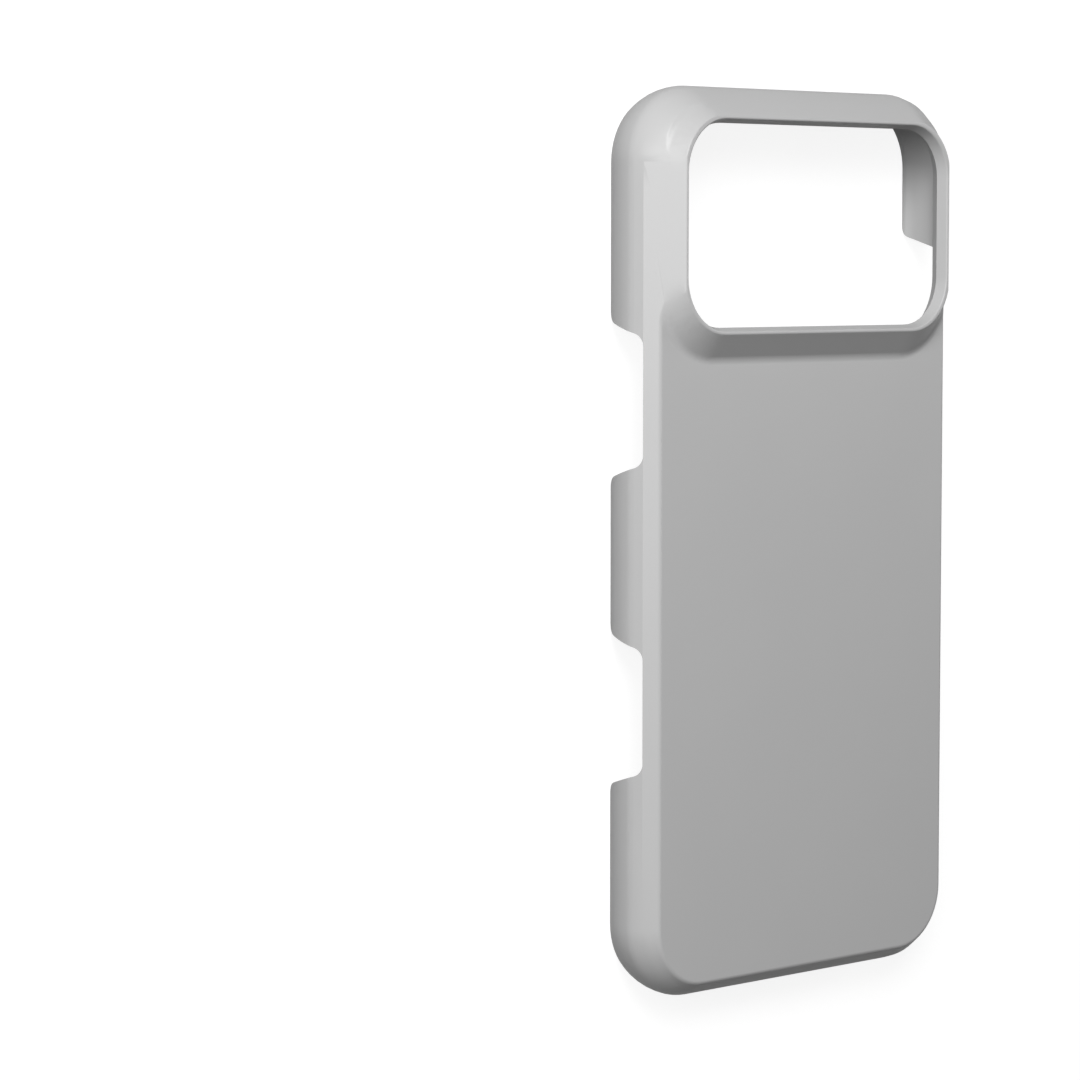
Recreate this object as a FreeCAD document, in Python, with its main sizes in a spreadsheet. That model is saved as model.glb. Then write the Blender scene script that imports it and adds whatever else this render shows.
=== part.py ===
"""Clip-on phone case: a hard plastic shell moulded in one piece, open at the screen side.

The shell lies with its lip on the plane z = 0 and its back upwards. X runs across the phone, +Y points to
the camera end and the origin is under the middle of the case. All sizes are in millimetres.
"""
import FreeCAD, Part
import Sketcher
import math
import os

SIZES = {
    # the phone that the shell clips onto
    "phone_length": 163.4,
    "phone_width": 78.0,
    "phone_thickness": 8.75,
    "fit_gap": 0.1,
    # side wall, from the lip up to the back
    "side_wall": 1.8,
    "back_wall": 1.4,
    "corner_radius": 14.0,
    "lip_reach": 1.6,
    "lip_tuck": 1.6,
    "lead_in_run": 0.15,
    "lead_in_rise": 0.9,
    "hook_depth": 0.3,
    "hook_height": 2.2,
    "shoulder_radius": 4.75,
    "shoulder_run": 0.61,
    "shoulder_drop": 1.69,
    "chamfer_run": 1.94,
    "chamfer_drop": 2.55,
    "chamfer_wall": 1.35,
    "back_edge_radius": 1.1,
    # raised frame round the cameras
    "frame_rise": 3.75,
    "frame_reach": 45.1,
    "frame_slope_run": 4.75,
    "frame_corner_radius": 10.3,
    "frame_upper_radius": 10.3,
    "frame_run_out": 0.3,
    "frame_foot_radius": 2.6,
    "crest_land": 0.5,
    "crest_radius": 0.38,
    # window through the frame
    "window_flare": 0.71,
    "window_depth": 2.1,
    "recess_flare": 2.3,
    # cut-outs in the side wall, placed from the camera end of the phone
    "cutout_lean": 16.7,
    "cutout_root_radius": 2.4,
    "cutout_tip_radius": 2.4,
    "side_cutout_drop": 2.55,
    "power_cutout_place": 55.05,
    "power_cutout_length": 19.7,
    "shutter_cutout_place": 111.5,
    "shutter_cutout_length": 18.9,
    "volume_cutout_place": 51.6,
    "volume_cutout_length": 44.4,
    "port_cutout_drop": 4.7,
    "port_cutout_length": 44.0,
}

TRIM_MARGIN = 12.0
CUT_OVERRUN = 1.0
CORE_LAP = 6.0
EDGE_TOLERANCE = 0.01


class Length:
    """A length worked out from the sheet: its expression, and its value to start a sketch near."""

    def __init__(self, text, value):
        self.text = text
        self.value = value

    def combined(self, sign, other):
        other = as_length(other)
        left, right = self.value, other.value
        values = {"+": left + right, "-": left - right, "*": left * right}
        value = values[sign] if sign in values else left / right
        return Length(f"({self.text} {sign} {other.text})", value)

    def __add__(self, other):
        return self.combined("+", other)

    def __sub__(self, other):
        return self.combined("-", other)

    def __mul__(self, other):
        return self.combined("*", other)

    def __truediv__(self, other):
        return self.combined("/", other)

    def __neg__(self):
        return Length(f"(0 - {self.text})", -self.value)


def as_length(number):
    return number if isinstance(number, Length) else Length(repr(float(number)), float(number))


def fill_sheet(doc):
    """Writes the driving sizes into the document's sheet and gives them back by name."""
    sheet = doc.addObject("Spreadsheet::Sheet", "Sizes")
    for row, (name, number) in enumerate(SIZES.items(), start=1):
        sheet.set(f"A{row}", name)
        sheet.set(f"B{row}", str(number))
        sheet.setAlias(f"B{row}", name)
    doc.recompute()
    return {name: Length(f"Sizes.{name}", number) for name, number in SIZES.items()}


def origin_plane(body, role):
    return next(feature for feature in body.Origin.OriginFeatures if feature.Role == role)


def new_sketch(body, name, plane, offset=None):
    """A sketch on one of the body's origin planes, lifted off it by the offset."""
    sketch = body.newObject("Sketcher::SketchObject", name)
    sketch.AttachmentSupport = [(origin_plane(body, plane), "")]
    sketch.MapMode = "FlatFace"
    if offset is not None:
        sketch.setExpression("AttachmentOffset.Base.z", offset.text)
    return sketch


def add_line(sketch, start, end):
    return sketch.addGeometry(Part.LineSegment(FreeCAD.Vector(*start, 0), FreeCAD.Vector(*end, 0)))


def add_arc(sketch, centre, radius, first_degrees, last_degrees):
    circle = Part.Circle(FreeCAD.Vector(*centre, 0), FreeCAD.Vector(0, 0, 1), radius)
    arc = Part.ArcOfCircle(circle, math.radians(first_degrees), math.radians(last_degrees))
    return sketch.addGeometry(arc)


def bind(sketch, kind, places, length, unit=""):
    """Adds a constraint that holds a size, bound to the sheet."""
    start = math.radians(length.value) if kind == "Angle" else length.value
    index = sketch.addConstraint(Sketcher.Constraint(kind, *places, start))
    sketch.setExpression(f"Constraints[{index}]", f"{length.text}{unit}")


def hold_point(sketch, edge, end, x=None, y=None):
    """Holds an edge's end at a place measured from the sketch's origin."""
    if x is not None:
        bind(sketch, "DistanceX", (-1, 1, edge, end), x)
    if y is not None:
        bind(sketch, "DistanceY", (-1, 1, edge, end), y)


def join(sketch, first, first_end, second, second_end, kind="Coincident"):
    sketch.addConstraint(Sketcher.Constraint(kind, first, first_end, second, second_end))


def rounded_rectangle(sketch, half_width, low, high, radius, upper_radius=None):
    """A closed outline of four sides and four corner arcs; the upper two may have a radius of their own."""
    x, y0, y1, r = half_width.value, low.value, high.value, radius.value
    u = upper_radius.value if upper_radius else r
    bottom = add_line(sketch, (-x + r, y0), (x - r, y0))
    right = add_line(sketch, (x, y0 + r), (x, y1 - u))
    top = add_line(sketch, (x - u, y1), (-x + u, y1))
    left = add_line(sketch, (-x, y1 - u), (-x, y0 + r))
    arcs = [
        add_arc(sketch, (x - r, y0 + r), r, 270, 360),
        add_arc(sketch, (x - u, y1 - u), u, 0, 90),
        add_arc(sketch, (-x + u, y1 - u), u, 90, 180),
        add_arc(sketch, (-x + r, y0 + r), r, 180, 270),
    ]
    sides = [bottom, right, top, left]
    for number, arc in enumerate(arcs):
        join(sketch, sides[number], 2, arc, 1, "Tangent")
        join(sketch, arc, 2, sides[(number + 1) % 4], 1, "Tangent")
    for side in (bottom, top):
        sketch.addConstraint(Sketcher.Constraint("Horizontal", side))
    for side in (right, left):
        sketch.addConstraint(Sketcher.Constraint("Vertical", side))
    sketch.addConstraint(Sketcher.Constraint("Equal", arcs[0], arcs[3]))
    sketch.addConstraint(Sketcher.Constraint("Equal", arcs[1], arcs[2]))
    bind(sketch, "Radius", (arcs[0],), radius)
    bind(sketch, "Radius", (arcs[1],), upper_radius or radius)
    hold_point(sketch, right, 1, x=half_width)
    hold_point(sketch, left, 1, x=-half_width)
    hold_point(sketch, bottom, 1, y=low)
    hold_point(sketch, top, 1, y=high)


def closed_polyline(sketch, edges):
    """Joins edges end to end into a loop."""
    for edge, following in zip(edges, edges[1:] + edges[:1]):
        join(sketch, edge, 2, following, 1)


def edge_names(shape, test):
    return [f"Edge{number}" for number, edge in enumerate(shape.Edges, start=1) if test(edge)]


def lies_at(edge, height):
    """Whether an edge runs level at the given height."""
    box = edge.BoundBox
    return abs(box.ZMin - height) < EDGE_TOLERANCE and abs(box.ZMax - height) < EDGE_TOLERANCE


class CaseShell:
    """The moulded shell, built up in the body's own order of features."""

    def __init__(self, doc, size):
        self.doc = doc
        self.size = size
        self.body = doc.addObject("PartDesign::Body", "CaseShell")
        self.body.Label = "case_shell"
        self.work_out(size)

    def work_out(self, size):
        """Places that several features share."""
        self.half_cavity = size["phone_width"] / 2 + size["fit_gap"]
        self.half_width = self.half_cavity + size["side_wall"]
        self.half_length = size["phone_length"] / 2 + size["fit_gap"] + size["side_wall"]
        self.phone_end = size["phone_length"] / 2
        self.seat = size["lip_reach"] + size["phone_thickness"]
        self.back = self.seat + size["back_wall"]
        self.crest = self.back + size["frame_rise"]
        self.crease = self.back - size["chamfer_drop"]
        self.chamfer_slope = size["chamfer_run"] / size["chamfer_drop"]
        shoulder_length = self.hypotenuse(size["shoulder_run"], size["shoulder_drop"])
        self.shoulder_sine = size["shoulder_drop"] / shoulder_length
        self.shoulder_cosine = size["shoulder_run"] / shoulder_length
        self.shoulder_in = size["shoulder_radius"] * (as_length(1) - self.shoulder_sine)
        self.crease_in = self.shoulder_in + size["shoulder_run"]
        self.back_edge_in = self.crease_in + size["chamfer_run"]
        self.crest_in = self.back_edge_in + size["frame_rise"] * self.chamfer_slope
        self.widest = self.crease - size["shoulder_drop"] - size["shoulder_radius"] * self.shoulder_cosine
        self.frame_low = self.half_length - size["frame_reach"]

    @staticmethod
    def hypotenuse(run, drop):
        return Length(f"sqrt({run.text}^2 + {drop.text}^2)", math.hypot(run.value, drop.value))

    def feature(self, kind, name, profile):
        """A feature on the body made from a solved profile."""
        self.doc.recompute()
        made = self.body.newObject(f"PartDesign::{kind}", name)
        made.Profile = profile
        return made

    def block(self):
        """The blank that the outside is trimmed from."""
        sketch = new_sketch(self.body, "BlankOutline", "XY_Plane")
        length = self.half_length + TRIM_MARGIN
        rounded_rectangle(
            sketch,
            self.half_width + TRIM_MARGIN,
            -length,
            length,
            self.size["corner_radius"] + TRIM_MARGIN,
        )
        pad = self.feature("Pad", "Blank", sketch)
        pad.setExpression("Length", self.back.text)

    def frame(self):
        """The raised frame: a loft from its foot up to its crest, a little wider than the trim leaves it."""
        size = self.size
        run_out = size["frame_run_out"]
        side_run = size["frame_rise"] * self.chamfer_slope
        foot = new_sketch(self.body, "FrameFoot", "XY_Plane", self.back)
        rounded_rectangle(
            foot,
            self.half_width - self.back_edge_in + run_out,
            self.frame_low - size["frame_slope_run"],
            self.half_length - self.back_edge_in + run_out,
            size["frame_corner_radius"] + side_run,
            size["frame_upper_radius"] + side_run,
        )
        crest = new_sketch(self.body, "FrameCrest", "XY_Plane", self.crest)
        rounded_rectangle(
            crest,
            self.half_width - self.crest_in + run_out,
            self.frame_low,
            self.half_length - self.crest_in + run_out,
            size["frame_corner_radius"],
            size["frame_upper_radius"],
        )
        loft = self.feature("AdditiveLoft", "Frame", foot)
        loft.Sections = [crest]
        loft.Ruled = True
        self.doc.recompute()
        limit = self.half_width.value

        def round_the_foot(edge):
            inside = edge.BoundBox.XMax < limit and edge.BoundBox.XMin > -limit
            return inside and lies_at(edge, self.back.value)

        self.fillet("FrameFootFillet", loft, round_the_foot, size["frame_foot_radius"])

    def fillet(self, name, base, test, radius):
        names = edge_names(base.Shape, test)
        made = self.body.newObject("PartDesign::Fillet", name)
        made.Base = (base, names)
        made.setExpression("Radius", radius.text)
        self.doc.recompute()
        return made

    def wall_path(self):
        """The widest outline of the wall, which both wall profiles follow."""
        self.path = new_sketch(self.body, "WallPath", "XY_Plane")
        radius = self.size["corner_radius"]
        rounded_rectangle(self.path, self.half_width, -self.half_length, self.half_length, radius)

    def sweep(self, kind, name, profile):
        pipe = self.feature(kind, name, profile)
        pipe.Spine = (self.path, [])
        self.doc.recompute()
        return pipe

    def outside(self):
        """Trims the outside: tucked lip, bowed side, shoulder and chamfer, which runs on up the frame."""
        size = self.size
        profile = new_sketch(self.body, "OutsideProfile", "XZ_Plane")
        below = as_length(-CUT_OVERRUN)
        above = self.crest + CUT_OVERRUN
        outer = self.half_width + TRIM_MARGIN + CUT_OVERRUN
        tuck = size["lip_tuck"]
        tip = self.half_width - tuck
        bow_radius = (self.widest * self.widest + tuck * tuck) / (tuck * 2)
        bow_centre = (self.half_width - bow_radius).value
        bow_angle = math.degrees(math.asin(self.widest.value / bow_radius.value))
        turn_centre = (self.half_width - size["shoulder_radius"]).value
        turn_angle = math.degrees(math.asin(self.shoulder_cosine.value))
        crease_x = self.half_width - self.crease_in
        turn_end = (
            (self.half_width - self.shoulder_in).value,
            (self.crease - size["shoulder_drop"]).value,
        )
        chamfer_top = crease_x - (above - self.crease) * self.chamfer_slope
        edges = [
            add_line(profile, (tip.value, below.value), (tip.value, 0)),
            add_arc(profile, (bow_centre, self.widest.value), bow_radius.value, -bow_angle, 0),
            add_arc(profile, (turn_centre, self.widest.value), size["shoulder_radius"].value, 0, turn_angle),
            add_line(profile, turn_end, (crease_x.value, self.crease.value)),
            add_line(profile, (crease_x.value, self.crease.value), (chamfer_top.value, above.value)),
            add_line(profile, (chamfer_top.value, above.value), (outer.value, above.value)),
            add_line(profile, (outer.value, above.value), (outer.value, below.value)),
            add_line(profile, (outer.value, below.value), (tip.value, below.value)),
        ]
        tail, bow, turn, shoulder, chamfer, ceiling, far_side, floor = edges
        closed_polyline(profile, edges)
        hold_point(profile, tail, 1, x=tip, y=below)
        hold_point(profile, bow, 1, x=tip, y=as_length(0))
        hold_point(profile, bow, 2, x=self.half_width, y=self.widest)
        hold_point(profile, bow, 3, y=self.widest)
        hold_point(profile, turn, 3, y=self.widest)
        hold_point(profile, turn, 2, y=self.crease - size["shoulder_drop"])
        bind(profile, "Radius", (turn,), size["shoulder_radius"])
        hold_point(profile, chamfer, 1, x=crease_x, y=self.crease)
        hold_point(profile, chamfer, 2, x=chamfer_top, y=above)
        hold_point(profile, far_side, 1, x=outer)
        hold_point(profile, floor, 1, x=outer, y=below)
        profile.addConstraint(Sketcher.Constraint("Horizontal", ceiling))
        return self.sweep("SubtractivePipe", "Outside", profile)

    def back_edge(self, base):
        """Rounds the edge of the back, on up the frame's lower corners, and round its upper ones."""
        edge_line = -(self.half_length - self.back_edge_in).value
        frame_middle = (self.half_length + self.frame_low).value / 2
        corner_span = self.size["frame_upper_radius"].value / 2

        def at_the_port_end(edge):
            return lies_at(edge, self.back.value) and abs(edge.BoundBox.YMax - edge_line) < EDGE_TOLERANCE

        def round_an_upper_corner(edge):
            box = edge.BoundBox
            rises = box.ZLength > EDGE_TOLERANCE and box.ZMin > self.back.value
            return rises and box.YMin > frame_middle and min(box.XLength, box.YLength) > corner_span

        return self.fillet(
            "BackEdgeFillet",
            base,
            lambda edge: at_the_port_end(edge) or round_an_upper_corner(edge),
            self.size["back_edge_radius"],
        )

    def phone_space(self):
        """Hollows the shell: a core under the back, then the wall's inside with its hook and lead-in."""
        size = self.size
        core = new_sketch(self.body, "CoreOutline", "XY_Plane")
        lap = as_length(CORE_LAP) + size["side_wall"]
        rounded_rectangle(
            core,
            self.half_width - lap,
            lap - self.half_length,
            self.half_length - lap,
            size["corner_radius"] - lap,
        )
        pocket = self.feature("Pocket", "Core", core)
        pocket.Reversed = True
        pocket.setExpression("Length", self.seat.text)
        profile = new_sketch(self.body, "InsideProfile", "XZ_Plane")
        below = as_length(-CUT_OVERRUN)
        hook = self.half_cavity - size["hook_depth"]
        hook_square = size["hook_height"] * size["hook_height"]
        hook_radius = (hook_square + size["hook_depth"] * size["hook_depth"]) / (size["hook_depth"] * 2)
        hook_angle = math.degrees(math.asin(size["hook_height"].value / hook_radius.value))
        chamfer_length = self.hypotenuse(size["chamfer_run"], size["chamfer_drop"])
        chamfer_offset = size["chamfer_wall"] * chamfer_length / size["chamfer_drop"]
        outer_seat_edge = self.half_width - self.back_edge_in + size["back_wall"] * self.chamfer_slope
        seat_edge = outer_seat_edge - chamfer_offset
        wall_top = self.seat - (self.half_cavity - seat_edge) / self.chamfer_slope
        inner = self.half_width - lap - CORE_LAP / 2
        lip_edge = hook + size["lead_in_run"]
        hook_top = size["lead_in_rise"] + size["hook_height"]
        points = [
            (lip_edge, below),
            (lip_edge, as_length(0)),
            (hook, size["lead_in_rise"]),
            (self.half_cavity, hook_top),
            (self.half_cavity, wall_top),
            (seat_edge, self.seat),
            (inner, self.seat),
            (inner, below),
        ]
        places = [(x.value, y.value) for x, y in points]
        hook_centre = ((self.half_cavity - hook_radius).value, hook_top.value)
        edges = [
            add_line(profile, places[0], places[1]),
            add_line(profile, places[1], places[2]),
            add_arc(profile, hook_centre, hook_radius.value, -hook_angle, 0),
        ]
        edges += [add_line(profile, places[number], places[(number + 1) % 8]) for number in range(3, 8)]
        closed_polyline(profile, edges)
        for edge, (x, y) in zip(edges, points):
            hold_point(profile, edge, 1, x=x, y=y)
        hold_point(profile, edges[2], 3, y=hook_top)
        return self.sweep("SubtractivePipe", "Inside", profile)

    def window(self):
        """The camera window: flared at the crest, narrowest at its throat, then opening into a recess."""
        size = self.size
        land = size["crest_land"]
        throat = self.crest - size["window_depth"]
        sections = []
        for name, height, inset in (
            ("RecessOutline", self.seat, land + size["window_flare"] - size["recess_flare"]),
            ("ThroatOutline", throat, land + size["window_flare"]),
            ("WindowOutline", self.crest, land),
        ):
            sketch = new_sketch(self.body, name, "XY_Plane", height)
            rounded_rectangle(
                sketch,
                self.half_width - self.crest_in - inset,
                self.frame_low + inset,
                self.half_length - self.crest_in - inset,
                size["frame_corner_radius"] - inset,
                size["frame_upper_radius"] - inset,
            )
            sections.append(sketch)
        loft = self.feature("SubtractiveLoft", "Window", sections[0])
        loft.Sections = sections[1:]
        loft.Ruled = True
        self.doc.recompute()
        mouth = (self.half_width - self.crest_in - land).value + EDGE_TOLERANCE

        def round_the_mouth(edge):
            return lies_at(edge, self.crest.value) and max(edge.BoundBox.XMax, -edge.BoundBox.XMin) < mouth

        return self.fillet("MouthFillet", loft, round_the_mouth, size["crest_radius"])

    def crest_edge(self, base):
        """Softens the outer edge of the frame's crest."""

        def on_the_crest(edge):
            return lies_at(edge, self.crest.value)

        return self.fillet("CrestFillet", base, on_the_crest, self.size["crest_radius"])

    def cutout(self, name, plane, offset, middle, length, drop, from_below=False):
        """A cut-out up from the lip, with leaning ends, rounded roots and rounded tips."""
        size = self.size
        sketch = new_sketch(self.body, f"{name}Outline", plane, offset)
        roof = self.back - drop
        root, tip = size["cutout_root_radius"], size["cutout_tip_radius"]
        lean = math.radians(size["cutout_lean"].value)
        below = as_length(-CUT_OVERRUN)
        degrees = size["cutout_lean"].value
        half = length / 2
        root_end = (
            half.value + root.value * math.cos(lean),
            roof.value - root.value + root.value * math.sin(lean),
        )
        tip_height = tip.value - tip.value * math.sin(lean)
        tip_start = root_end[0] + (root_end[1] - tip_height) * math.tan(lean)
        tip_centre = tip_start + tip.value * math.cos(lean)
        m, top = middle.value, roof.value
        ceiling = add_line(sketch, (m - half.value, top), (m + half.value, top))
        right_root = add_arc(sketch, (m + half.value, top - root.value), root.value, degrees, 90)
        right_side = add_line(sketch, (m + root_end[0], root_end[1]), (m + tip_start, tip_height))
        right_tip = add_arc(sketch, (m + tip_centre, tip.value), tip.value, 180 + degrees, 270)
        right_tail = add_line(sketch, (m + tip_centre, 0), (m + tip_centre, below.value))
        floor = add_line(sketch, (m + tip_centre, below.value), (m - tip_centre, below.value))
        left_tail = add_line(sketch, (m - tip_centre, below.value), (m - tip_centre, 0))
        left_tip = add_arc(sketch, (m - tip_centre, tip.value), tip.value, 270, 360 - degrees)
        left_side = add_line(sketch, (m - tip_start, tip_height), (m - root_end[0], root_end[1]))
        left_root = add_arc(sketch, (m - half.value, top - root.value), root.value, 90, 180 - degrees)
        join(sketch, ceiling, 2, right_root, 2, "Tangent")
        join(sketch, right_root, 1, right_side, 1, "Tangent")
        join(sketch, right_side, 2, right_tip, 1, "Tangent")
        join(sketch, right_tip, 2, right_tail, 1)
        join(sketch, right_tail, 2, floor, 1)
        join(sketch, floor, 2, left_tail, 1)
        join(sketch, left_tail, 2, left_tip, 1)
        join(sketch, left_tip, 2, left_side, 1, "Tangent")
        join(sketch, left_side, 2, left_root, 2, "Tangent")
        join(sketch, left_root, 1, ceiling, 1, "Tangent")
        sketch.addConstraint(Sketcher.Constraint("Horizontal", ceiling))
        sketch.addConstraint(Sketcher.Constraint("Horizontal", floor))
        sketch.addConstraint(Sketcher.Constraint("Vertical", right_tail))
        sketch.addConstraint(Sketcher.Constraint("Vertical", left_tail))
        join(sketch, right_tip, 3, right_tip, 2, "Vertical")
        join(sketch, left_tip, 3, left_tip, 1, "Vertical")
        sketch.addConstraint(Sketcher.Constraint("Equal", right_root, left_root))
        sketch.addConstraint(Sketcher.Constraint("Equal", right_tip, left_tip))
        bind(sketch, "Radius", (right_root,), root)
        bind(sketch, "Radius", (right_tip,), tip)
        hold_point(sketch, ceiling, 1, x=middle - half, y=roof)
        hold_point(sketch, ceiling, 2, x=middle + half)
        hold_point(sketch, right_tip, 2, y=as_length(0))
        hold_point(sketch, left_tip, 1, y=as_length(0))
        hold_point(sketch, floor, 1, y=below)
        bind(sketch, "Angle", (right_side,), size["cutout_lean"] - 90, " * 1 deg")
        bind(sketch, "Angle", (left_side,), as_length(90) - size["cutout_lean"], " * 1 deg")
        pocket = self.feature("Pocket", name, sketch)
        pocket.Reversed = from_below
        pocket.setExpression("Length", (size["side_wall"] + CORE_LAP + CUT_OVERRUN).text)

    def cutouts(self):
        """Button openings on both sides and the charging port's opening at the other end."""
        size = self.size
        outside = self.half_width + CUT_OVERRUN
        port_side = self.half_length + CUT_OVERRUN
        for name, key, offset in (
            ("PowerCutout", "power_cutout", -outside),
            ("ShutterCutout", "shutter_cutout", -outside),
            ("VolumeCutout", "volume_cutout", outside),
        ):
            middle = self.phone_end - size[f"{key}_place"]
            length = size[f"{key}_length"]
            on_left = name != "VolumeCutout"
            self.cutout(name, "YZ_Plane", offset, middle, length, size["side_cutout_drop"], on_left)
        self.cutout("PortCutout", "XZ_Plane", port_side, as_length(0), size["port_cutout_length"],
                    size["port_cutout_drop"])


def check(doc, shape):
    """Stops the build unless every object is sound and the shell is one closed solid."""
    for item in doc.Objects:
        if "Invalid" in item.State or "Error" in item.State:
            raise RuntimeError(f"{item.Name} did not build: {item.State}")
    if shape.isNull() or not shape.isValid() or len(shape.Solids) != 1:
        raise RuntimeError("the shell is not one valid solid")


def main():
    doc = FreeCAD.newDocument("clip_on_phone_case")
    shell = CaseShell(doc, fill_sheet(doc))
    shell.block()
    shell.frame()
    shell.wall_path()
    trimmed = shell.outside()
    rounded = shell.back_edge(trimmed)
    shell.crest_edge(rounded)
    shell.phone_space()
    shell.window()
    shell.cutouts()
    doc.recompute()
    shell.body.Placement = FreeCAD.Placement()
    check(doc, shell.body.Shape)
    os.makedirs("parts", exist_ok=True)
    shell.body.Shape.exportStep("parts/case_shell.step")


main()
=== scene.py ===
import bpy
import bmesh
import math
import numpy
from mathutils import Matrix, Vector


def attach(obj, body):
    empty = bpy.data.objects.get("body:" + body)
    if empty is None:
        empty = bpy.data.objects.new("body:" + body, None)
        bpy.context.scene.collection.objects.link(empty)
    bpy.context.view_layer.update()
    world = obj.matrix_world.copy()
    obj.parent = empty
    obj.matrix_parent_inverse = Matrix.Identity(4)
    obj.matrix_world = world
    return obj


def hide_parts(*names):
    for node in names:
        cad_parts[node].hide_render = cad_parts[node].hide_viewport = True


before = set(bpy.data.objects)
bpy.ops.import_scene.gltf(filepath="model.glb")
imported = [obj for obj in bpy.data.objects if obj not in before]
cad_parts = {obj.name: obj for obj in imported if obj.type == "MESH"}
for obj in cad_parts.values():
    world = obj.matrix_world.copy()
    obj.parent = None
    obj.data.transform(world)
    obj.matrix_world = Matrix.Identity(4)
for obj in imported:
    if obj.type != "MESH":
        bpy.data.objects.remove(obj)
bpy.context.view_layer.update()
print("frame loaded:", sorted(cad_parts))


# helpers for node trees

def addNode(tree, kind, label, **inputs):
    node = tree.nodes.new(kind)
    node.label = label
    for socket, value in inputs.items():
        node.inputs[socket].default_value = value
    return node


def newMaterial(name):
    material = bpy.data.materials.new(name)
    material.use_nodes = True
    tree = material.node_tree
    tree.nodes.clear()
    output = addNode(tree, "ShaderNodeOutputMaterial", "output")
    return material, tree, output


# satin plastic of the shell

plastic = {
    "colour": (0.505, 0.505, 0.505, 1.0),
    "mottleColour": (0.49, 0.49, 0.492, 1.0),
    "mottleScale": 55.0,      # faint flow marks, about 18 mm apart
    "mottleDetail": 3.0,
    "mottleRoughness": 0.45,
    "grainScale": 5200.0,     # spark-eroded mould grain, about 0.2 mm
    "grainDetail": 2.0,
    "grainRoughness": 0.6,
    "grainHeight": 0.000004,
    "grainStrength": 0.22,
    "roughnessLow": 0.30,
    "roughnessHigh": 0.36,
    "ior": 1.5,
    "specular": 0.3,
}


def makeGrainGroup():
    group = bpy.data.node_groups.new("mouldGrain", "ShaderNodeTree")
    for name in ("Mottle", "Grain"):
        group.interface.new_socket(name + " Scale", in_out="INPUT", socket_type="NodeSocketFloat")
        group.interface.new_socket(name, in_out="OUTPUT", socket_type="NodeSocketFloat")
    inside = group.nodes.new("NodeGroupInput")
    outside = group.nodes.new("NodeGroupOutput")
    place = addNode(group, "ShaderNodeTexCoord", "place on the shell")
    mottle = addNode(group, "ShaderNodeTexNoise", "flow mottle",
                     Detail=plastic["mottleDetail"], Roughness=plastic["mottleRoughness"])
    grain = addNode(group, "ShaderNodeTexNoise", "fine grain",
                    Detail=plastic["grainDetail"], Roughness=plastic["grainRoughness"])
    for texture, name in ((mottle, "Mottle"), (grain, "Grain")):
        group.links.new(place.outputs["Object"], texture.inputs["Vector"])
        group.links.new(inside.outputs[name + " Scale"], texture.inputs["Scale"])
        group.links.new(texture.outputs["Fac"], outside.inputs[name])
    return group


def makePlastic(grainGroup):
    material, tree, output = newMaterial("satinGreyPlastic")
    shader = addNode(tree, "ShaderNodeBsdfPrincipled", "satin plastic", IOR=plastic["ior"])
    shader.inputs["Specular IOR Level"].default_value = plastic["specular"]
    grain = tree.nodes.new("ShaderNodeGroup")
    grain.node_tree = grainGroup
    grain.inputs["Mottle Scale"].default_value = plastic["mottleScale"]
    grain.inputs["Grain Scale"].default_value = plastic["grainScale"]
    tint = addNode(tree, "ShaderNodeMix", "faint mottle")
    tint.data_type = "RGBA"
    tint.inputs["A"].default_value = plastic["mottleColour"]
    tint.inputs["B"].default_value = plastic["colour"]
    sheen = addNode(tree, "ShaderNodeMapRange", "gloss varies a little")
    sheen.inputs["To Min"].default_value = plastic["roughnessLow"]
    sheen.inputs["To Max"].default_value = plastic["roughnessHigh"]
    bump = addNode(tree, "ShaderNodeBump", "mould grain",
                   Strength=plastic["grainStrength"], Distance=plastic["grainHeight"])
    links = tree.links
    links.new(grain.outputs["Mottle"], tint.inputs["Factor"])
    links.new(tint.outputs["Result"], shader.inputs["Base Color"])
    links.new(grain.outputs["Mottle"], sheen.inputs["Value"])
    links.new(sheen.outputs["Result"], shader.inputs["Roughness"])
    links.new(grain.outputs["Grain"], bump.inputs["Height"])
    links.new(bump.outputs["Normal"], shader.inputs["Normal"])
    links.new(shader.outputs["BSDF"], output.inputs["Surface"])
    return material


# shell: merged copy of the moulded form, softly shaded, with the lines at the frame's corners eased

shell = {
    "mergeGap": 0.000002,
    "sharpAngle": 33.0,       # degrees
    "creaseHeight": 0.0092,   # where the shoulder meets the chamfer
    "creaseReach": 0.070,     # the crease fades out in the corners
    "cutAlong": 0.0005,       # spacing of new points in an eased patch, along the shell
    "cutUp": 0.0003,          # and up the slope
    "easeMargin": 0.0007,     # the crest and the back keep their edges
    "areaCap": 6e-7,          # a point stands for this much surface at most
    "leanIn": 0.02,           # a face this little turned in still counts as outer
    "marks": {                # lines to ease: points on the right side, mirrored for the left
        "ridge": {            # where a lower corner runs into the chamfer
            "line": ((0.0374, 0.0444, 0.0125), (0.03525, 0.0462, 0.01542)),
            "low": (0.0320, 0.0395, 0.0119),      # ends of the patch round the line
            "high": (0.0405, 0.0540, 0.01537),
            "outward": -1.0,                      # the patch faces the lower end
            "steepest": 0.45,                     # least rise of a face's normal
            "spread": 0.0012,                     # width of the smoothing
            "core": 0.0016,                       # eased fully this near the line
            "reach": 0.0045,                      # and not at all from here on
            "passes": 3,
        },
        "seam": {             # where an upper corner runs out into the flat sides
            "line": ((0.0373, 0.0696, 0.0130), (0.03533, 0.0696, 0.01535),
                     (0.0269, 0.07803, 0.01535), (0.0269, 0.0800, 0.0130)),
            "low": (0.0220, 0.0645, 0.0126),
            "high": (0.0410, 0.0840, 0.01537),
            "outward": 1.0,
            "steepest": 0.30,
            "spread": 0.0010,
            "core": 0.0010,
            "reach": 0.0026,
            "passes": 2,
        },
    },
}


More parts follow.
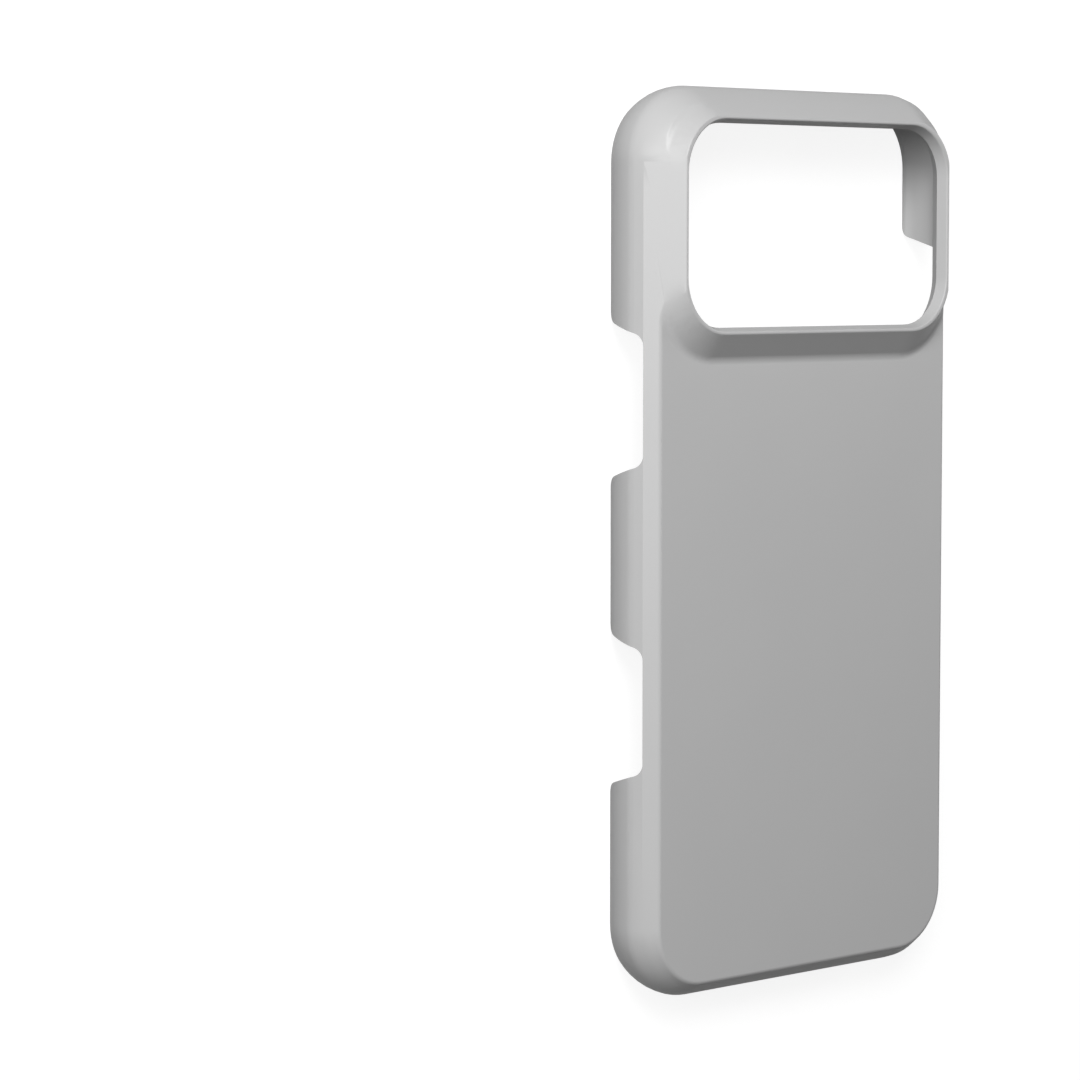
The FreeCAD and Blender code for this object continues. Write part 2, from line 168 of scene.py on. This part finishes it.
def onCrease(edge):
    level = all(abs(vert.co.z - shell["creaseHeight"]) < shell["mergeGap"] for vert in edge.verts)
    return level and all(abs(vert.co.y) < shell["creaseReach"] for vert in edge.verts)


def isOuter(normal, mark, side):
    turned = min(side * normal.x, mark["outward"] * normal.y)
    return turned > -shell["leanIn"] and normal.z > mark["steepest"]


def inBox(point, mark, side):
    place = (side * point.x, point.y, point.z)
    return all(low < value < high for low, value, high in zip(mark["low"], place, mark["high"]))


def pickPatch(bm, mark, side):
    return [face for face in bm.faces if isOuter(face.normal, mark, side)
            and inBox(face.calc_center_median(), mark, side)]


def facing(vert):             # sum of the normals around, by area
    return sum((face.normal * face.calc_area() for face in vert.link_faces), Vector())


def ramp(share):              # smooth rise from 0 to 1
    share = min(max(share, 0.0), 1.0)
    return share * share * (3.0 - 2.0 * share)


def lineGap(point, line):
    gaps = []
    for start, end in zip(line, line[1:]):
        share = (point - start).dot(end - start) / (end - start).length_squared
        gaps.append((point - start.lerp(end, min(max(share, 0.0), 1.0))).length)
    return min(gaps)


def fadeAt(point, mark, line):
    near = ramp((mark["reach"] - lineGap(point, line)) / (mark["reach"] - mark["core"]))
    belowCrest = ramp((mark["high"][2] - point.z) / shell["easeMargin"])
    aboveBack = ramp((point.z - mark["low"][2]) / shell["easeMargin"])
    return near * belowCrest * aboveBack


def unitRows(rows):
    return rows / numpy.linalg.norm(rows, axis=1)[:, None]


def cutAcross(bm, faces, point, normal):
    edges = list(dict.fromkeys(edge for face in faces for edge in face.edges))
    verts = list(dict.fromkeys(vert for face in faces for vert in face.verts))
    bmesh.ops.bisect_plane(bm, geom=faces + edges + verts, dist=shell["mergeGap"],
                           plane_co=point, plane_no=normal)


def cutPatch(bm, mark, side):
    low, high = mark["low"], mark["high"]
    lengthwise, upward = Vector((0.0, 1.0, 0.0)), Vector((0.0, 0.0, 1.0))
    for end in (low[1], high[1]):
        flank = [face for face in bm.faces if face.normal.z > mark["steepest"]
                 and side * face.calc_center_median().x > low[0]]
        cutAcross(bm, flank, lengthwise * end, lengthwise)
    for way, axis, gap in ((lengthwise, 1, shell["cutAlong"]), (upward, 2, shell["cutUp"])):
        for step in range(1, int((high[axis] - low[axis]) / gap)):
            cutAcross(bm, pickPatch(bm, mark, side), way * (low[axis] + step * gap), way)
    bmesh.ops.triangulate(bm, faces=[face for face in bm.faces if len(face.verts) > 3])
    bm.normal_update()


def easeCorner(bm, mark, side):
    cutPatch(bm, mark, side)
    verts = [vert for vert in bm.verts if inBox(vert.co, mark, side)
             and isOuter(facing(vert).normalized(), mark, side)]
    line = [Vector((side * x, y, z)) for x, y, z in mark["line"]]
    fade = numpy.array([fadeAt(vert.co, mark, line) for vert in verts])
    first = numpy.array([vert.co for vert in verts])
    points = first.copy()
    for turn in range(mark["passes"]):
        bm.normal_update()
        areas = numpy.array([sum(face.calc_area() for face in vert.link_faces) for vert in verts])
        normals = unitRows(numpy.array([facing(vert) for vert in verts]))
        gaps = ((points[:, None] - points[None]) ** 2).sum(2)
        weight = numpy.exp(-gaps / mark["spread"] ** 2) * numpy.minimum(areas, shell["areaCap"])
        # each point moves in or out only, towards the middle of those near it
        lean = unitRows(weight @ normals)
        centre = weight @ points / weight.sum(1)[:, None]
        points += lean * (((centre - points) * lean).sum(1) * fade)[:, None]
        for vert, place in zip(verts, points):
            vert.co = place
    return float(numpy.linalg.norm(points - first, axis=1).max())


def makeShell(material):
    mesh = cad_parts["case_shell"].data.copy()
    mesh.name = "shellSkin"
    mesh.materials.clear()
    mesh.materials.append(material)
    bm = bmesh.new()
    bm.from_mesh(mesh)
    bmesh.ops.remove_doubles(bm, verts=bm.verts, dist=shell["mergeGap"])
    for name, mark in shell["marks"].items():
        moved = [easeCorner(bm, mark, side) for side in (-1.0, 1.0)]
        print(name, "eased by at most", round(max(moved) * 1000, 3), "mm")
    for face in bm.faces:
        face.smooth = True
        face.material_index = 0
    for edge in bm.edges:
        gentle = edge.calc_face_angle(0.0) < math.radians(shell["sharpAngle"])
        edge.smooth = gentle and not onCrease(edge)
    bm.to_mesh(mesh)
    bm.free()
    if mesh.has_custom_normals:
        mesh.attributes.remove(mesh.attributes["custom_normal"])
    piece = bpy.data.objects.new("shellSkin", mesh)
    bpy.context.scene.collection.objects.link(piece)
    weighted = piece.modifiers.new("even shading", "WEIGHTED_NORMAL")
    weighted.mode = "FACE_AREA_WITH_ANGLE"
    weighted.keep_sharp = True
    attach(piece, "root")
    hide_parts("case_shell")
    print("shell skin:", len(mesh.polygons), "faces")


# floor, lights and world

studio = {
    "floorSize": 3.0,
    "floorColour": (0.22, 0.22, 0.22, 1.0),
    "floorGlow": 0.88,        # lifts the floor to white as the camera sees it
    "floorInGloss": 0.4,      # and less so in the shell's own sheen
    "lampSize": 0.4,
    "lampDistance": 0.9,
    "lamps": {                # azimuth and height in degrees, power in watts
        "key": (131.0, 42.0, 6.2),
        "side": (165.0, 28.0, 3.6),
        "right": (14.0, 24.0, 1.6),
    },
    "worldColour": (1.0, 1.0, 1.0, 1.0),
    "worldStrength": 0.05,
}


def makeFloor():
    bm = bmesh.new()
    bmesh.ops.create_grid(bm, x_segments=1, y_segments=1, size=studio["floorSize"] / 2)
    mesh = bpy.data.meshes.new("floor")
    bm.to_mesh(mesh)
    bm.free()
    material, tree, output = newMaterial("paleFloor")
    paint = addNode(tree, "ShaderNodeBsdfDiffuse", "pale floor", Color=studio["floorColour"])
    glow = addNode(tree, "ShaderNodeEmission", "white background", Strength=studio["floorGlow"])
    both = addNode(tree, "ShaderNodeAddShader", "floor as seen")
    mix = addNode(tree, "ShaderNodeMixShader", "seen or lighting")
    rays = addNode(tree, "ShaderNodeLightPath", "rays")
    straight = addNode(tree, "ShaderNodeMath", "seen straight or through glass")
    straight.operation = "MAXIMUM"
    seen = addNode(tree, "ShaderNodeMath", "or as a reflection")
    seen.operation = "MULTIPLY_ADD"
    seen.use_clamp = True
    seen.inputs[1].default_value = studio["floorInGloss"]
    links = tree.links
    links.new(rays.outputs["Is Camera Ray"], straight.inputs[0])
    links.new(rays.outputs["Is Transmission Ray"], straight.inputs[1])
    links.new(rays.outputs["Is Glossy Ray"], seen.inputs[0])
    links.new(straight.outputs["Value"], seen.inputs[2])
    links.new(paint.outputs["BSDF"], both.inputs[0])
    links.new(glow.outputs["Emission"], both.inputs[1])
    links.new(seen.outputs["Value"], mix.inputs["Fac"])
    links.new(paint.outputs["BSDF"], mix.inputs[1])
    links.new(both.outputs["Shader"], mix.inputs[2])
    links.new(mix.outputs["Shader"], output.inputs["Surface"])
    mesh.materials.append(material)
    floor = bpy.data.objects.new("floor", mesh)
    bpy.context.scene.collection.objects.link(floor)


def makeLights():
    for name, (azimuth, height, power) in studio["lamps"].items():
        turned, raised = math.radians(azimuth), math.radians(height)
        level = math.cos(raised)
        aim = Vector((level * math.cos(turned), level * math.sin(turned), math.sin(raised)))
        data = bpy.data.lights.new(name, "AREA")
        data.shape = "SQUARE"
        data.size = studio["lampSize"]
        data.energy = power
        lamp = bpy.data.objects.new(name, data)
        lamp.location = aim * studio["lampDistance"]
        lamp.rotation_euler = aim.to_track_quat("Z", "Y").to_euler()
        bpy.context.scene.collection.objects.link(lamp)
    world = bpy.data.worlds.new("studio")
    world.use_nodes = True
    background = world.node_tree.nodes["Background"]
    background.inputs["Color"].default_value = studio["worldColour"]
    background.inputs["Strength"].default_value = studio["worldStrength"]
    bpy.context.scene.world = world


# camera at the photo's angle: turned about the long axis, looking down on the back

view = {
    "focalPixels": 3724.6,    # focal length in the photo's pixels
    "framePixels": 1080.0,
    "sensorWidth": 36.0,
    "clipStart": 0.01,
    "turn": 0.738831,         # radians about the long axis
    "pitch": 0.07537,         # radians towards the lower end
    "across": 0.049835,       # from the camera to the middle of the back
    "along": -0.0522,
    "away": 0.69525,
    "backHeight": 0.01175,
}


def makeCamera():
    turn, pitch = view["turn"], view["pitch"]
    right = Vector((math.cos(turn), 0.0, math.sin(turn)))
    level = Vector((math.sin(turn), 0.0, -math.cos(turn)))
    long = Vector((0.0, 1.0, 0.0))
    forward = level * math.cos(pitch) - long * math.sin(pitch)
    up = level * math.sin(pitch) + long * math.cos(pitch)
    centre = -right * view["across"] - long * view["along"] - level * view["away"]
    centre.z += view["backHeight"]
    data = bpy.data.cameras.new("camera")
    data.sensor_width = view["sensorWidth"]
    data.lens = view["sensorWidth"] * view["focalPixels"] / view["framePixels"]
    data.clip_start = view["clipStart"]
    camera = bpy.data.objects.new("camera", data)
    turned = Matrix((right, up, -forward)).transposed().to_4x4()
    camera.matrix_world = Matrix.Translation(centre) @ turned
    bpy.context.scene.collection.objects.link(camera)
    bpy.context.scene.camera = camera


makeShell(makePlastic(makeGrainGroup()))
makeFloor()
makeLights()
makeCamera()
bpy.context.scene.view_settings.view_transform = "Standard"
print("studio ready")
